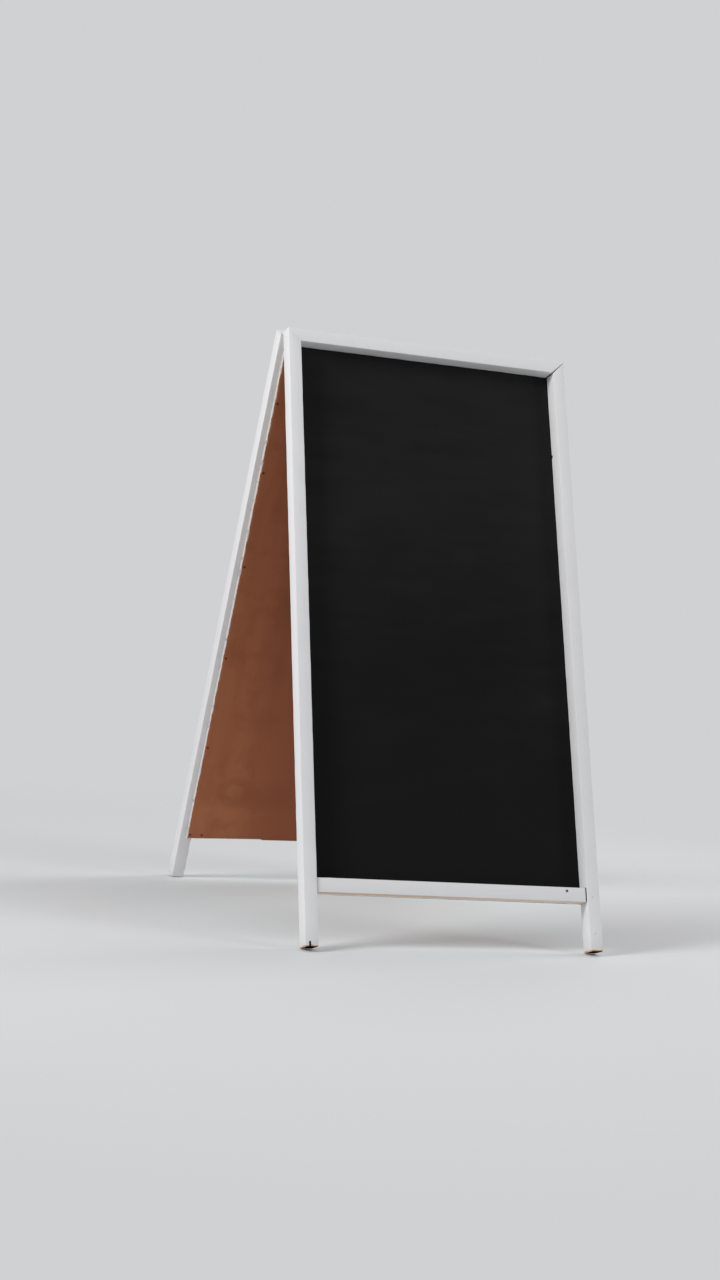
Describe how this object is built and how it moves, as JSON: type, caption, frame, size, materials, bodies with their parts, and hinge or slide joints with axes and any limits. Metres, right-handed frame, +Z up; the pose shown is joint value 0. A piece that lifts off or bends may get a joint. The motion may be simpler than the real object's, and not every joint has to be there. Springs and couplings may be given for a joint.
{
  "type": "folding sandwich board",
  "caption": "Freestanding A-frame sign: white batten frames with dark chalkboard sheets, hinged together along the top so that they fold flat.",
  "frame": {"origin": "on the floor, midway between the four feet", "axes": "+Z up, +X along the hinge line to the right of someone reading the front board, -Y out of the front board"},
  "size_m": [0.6058, 0.8318, 1.1476],
  "materials": {
    "white_paint": "brushed white gloss paint on softwood battens, worn to bare wood at the feet",
    "chalkboard_ply": "matt black chalkboard paint on the outer face, bare red-brown ply on the inner face",
    "nail_steel": "dull, lightly rusted nail heads",
    "hinge_steel": "zinc-plated steel, dulled outdoors"
  },
  "bodies": {
    "front_frame": {"front_left_stile": "white_paint", "front_right_stile": "white_paint", "front_top_rail": "white_paint", "front_bottom_rail": "white_paint", "front_board": "chalkboard_ply", "front_board_nails": "nail_steel", "front_joint_nails": "nail_steel", "left_hinge_front_leaf": "hinge_steel", "left_hinge_pin": "hinge_steel", "left_hinge_front_screws": "hinge_steel", "right_hinge_front_leaf": "hinge_steel", "right_hinge_pin": "hinge_steel", "right_hinge_front_screws": "hinge_steel"},
    "rear_frame": {"rear_left_stile": "white_paint", "rear_right_stile": "white_paint", "rear_top_rail": "white_paint", "rear_bottom_rail": "white_paint", "rear_board": "chalkboard_ply", "rear_board_nails": "nail_steel", "rear_joint_nails": "nail_steel", "left_hinge_rear_leaf": "hinge_steel", "left_hinge_rear_screws": "hinge_steel", "right_hinge_rear_leaf": "hinge_steel", "right_hinge_rear_screws": "hinge_steel"}
  },
  "joints": [
    {"name": "fold", "type": "hinge", "parent": "front_frame", "child": "rear_frame", "pos_m": [0, 0, 1.13925], "axis": [1, 0, 0], "range_deg": [-37, 143]}
  ]
}
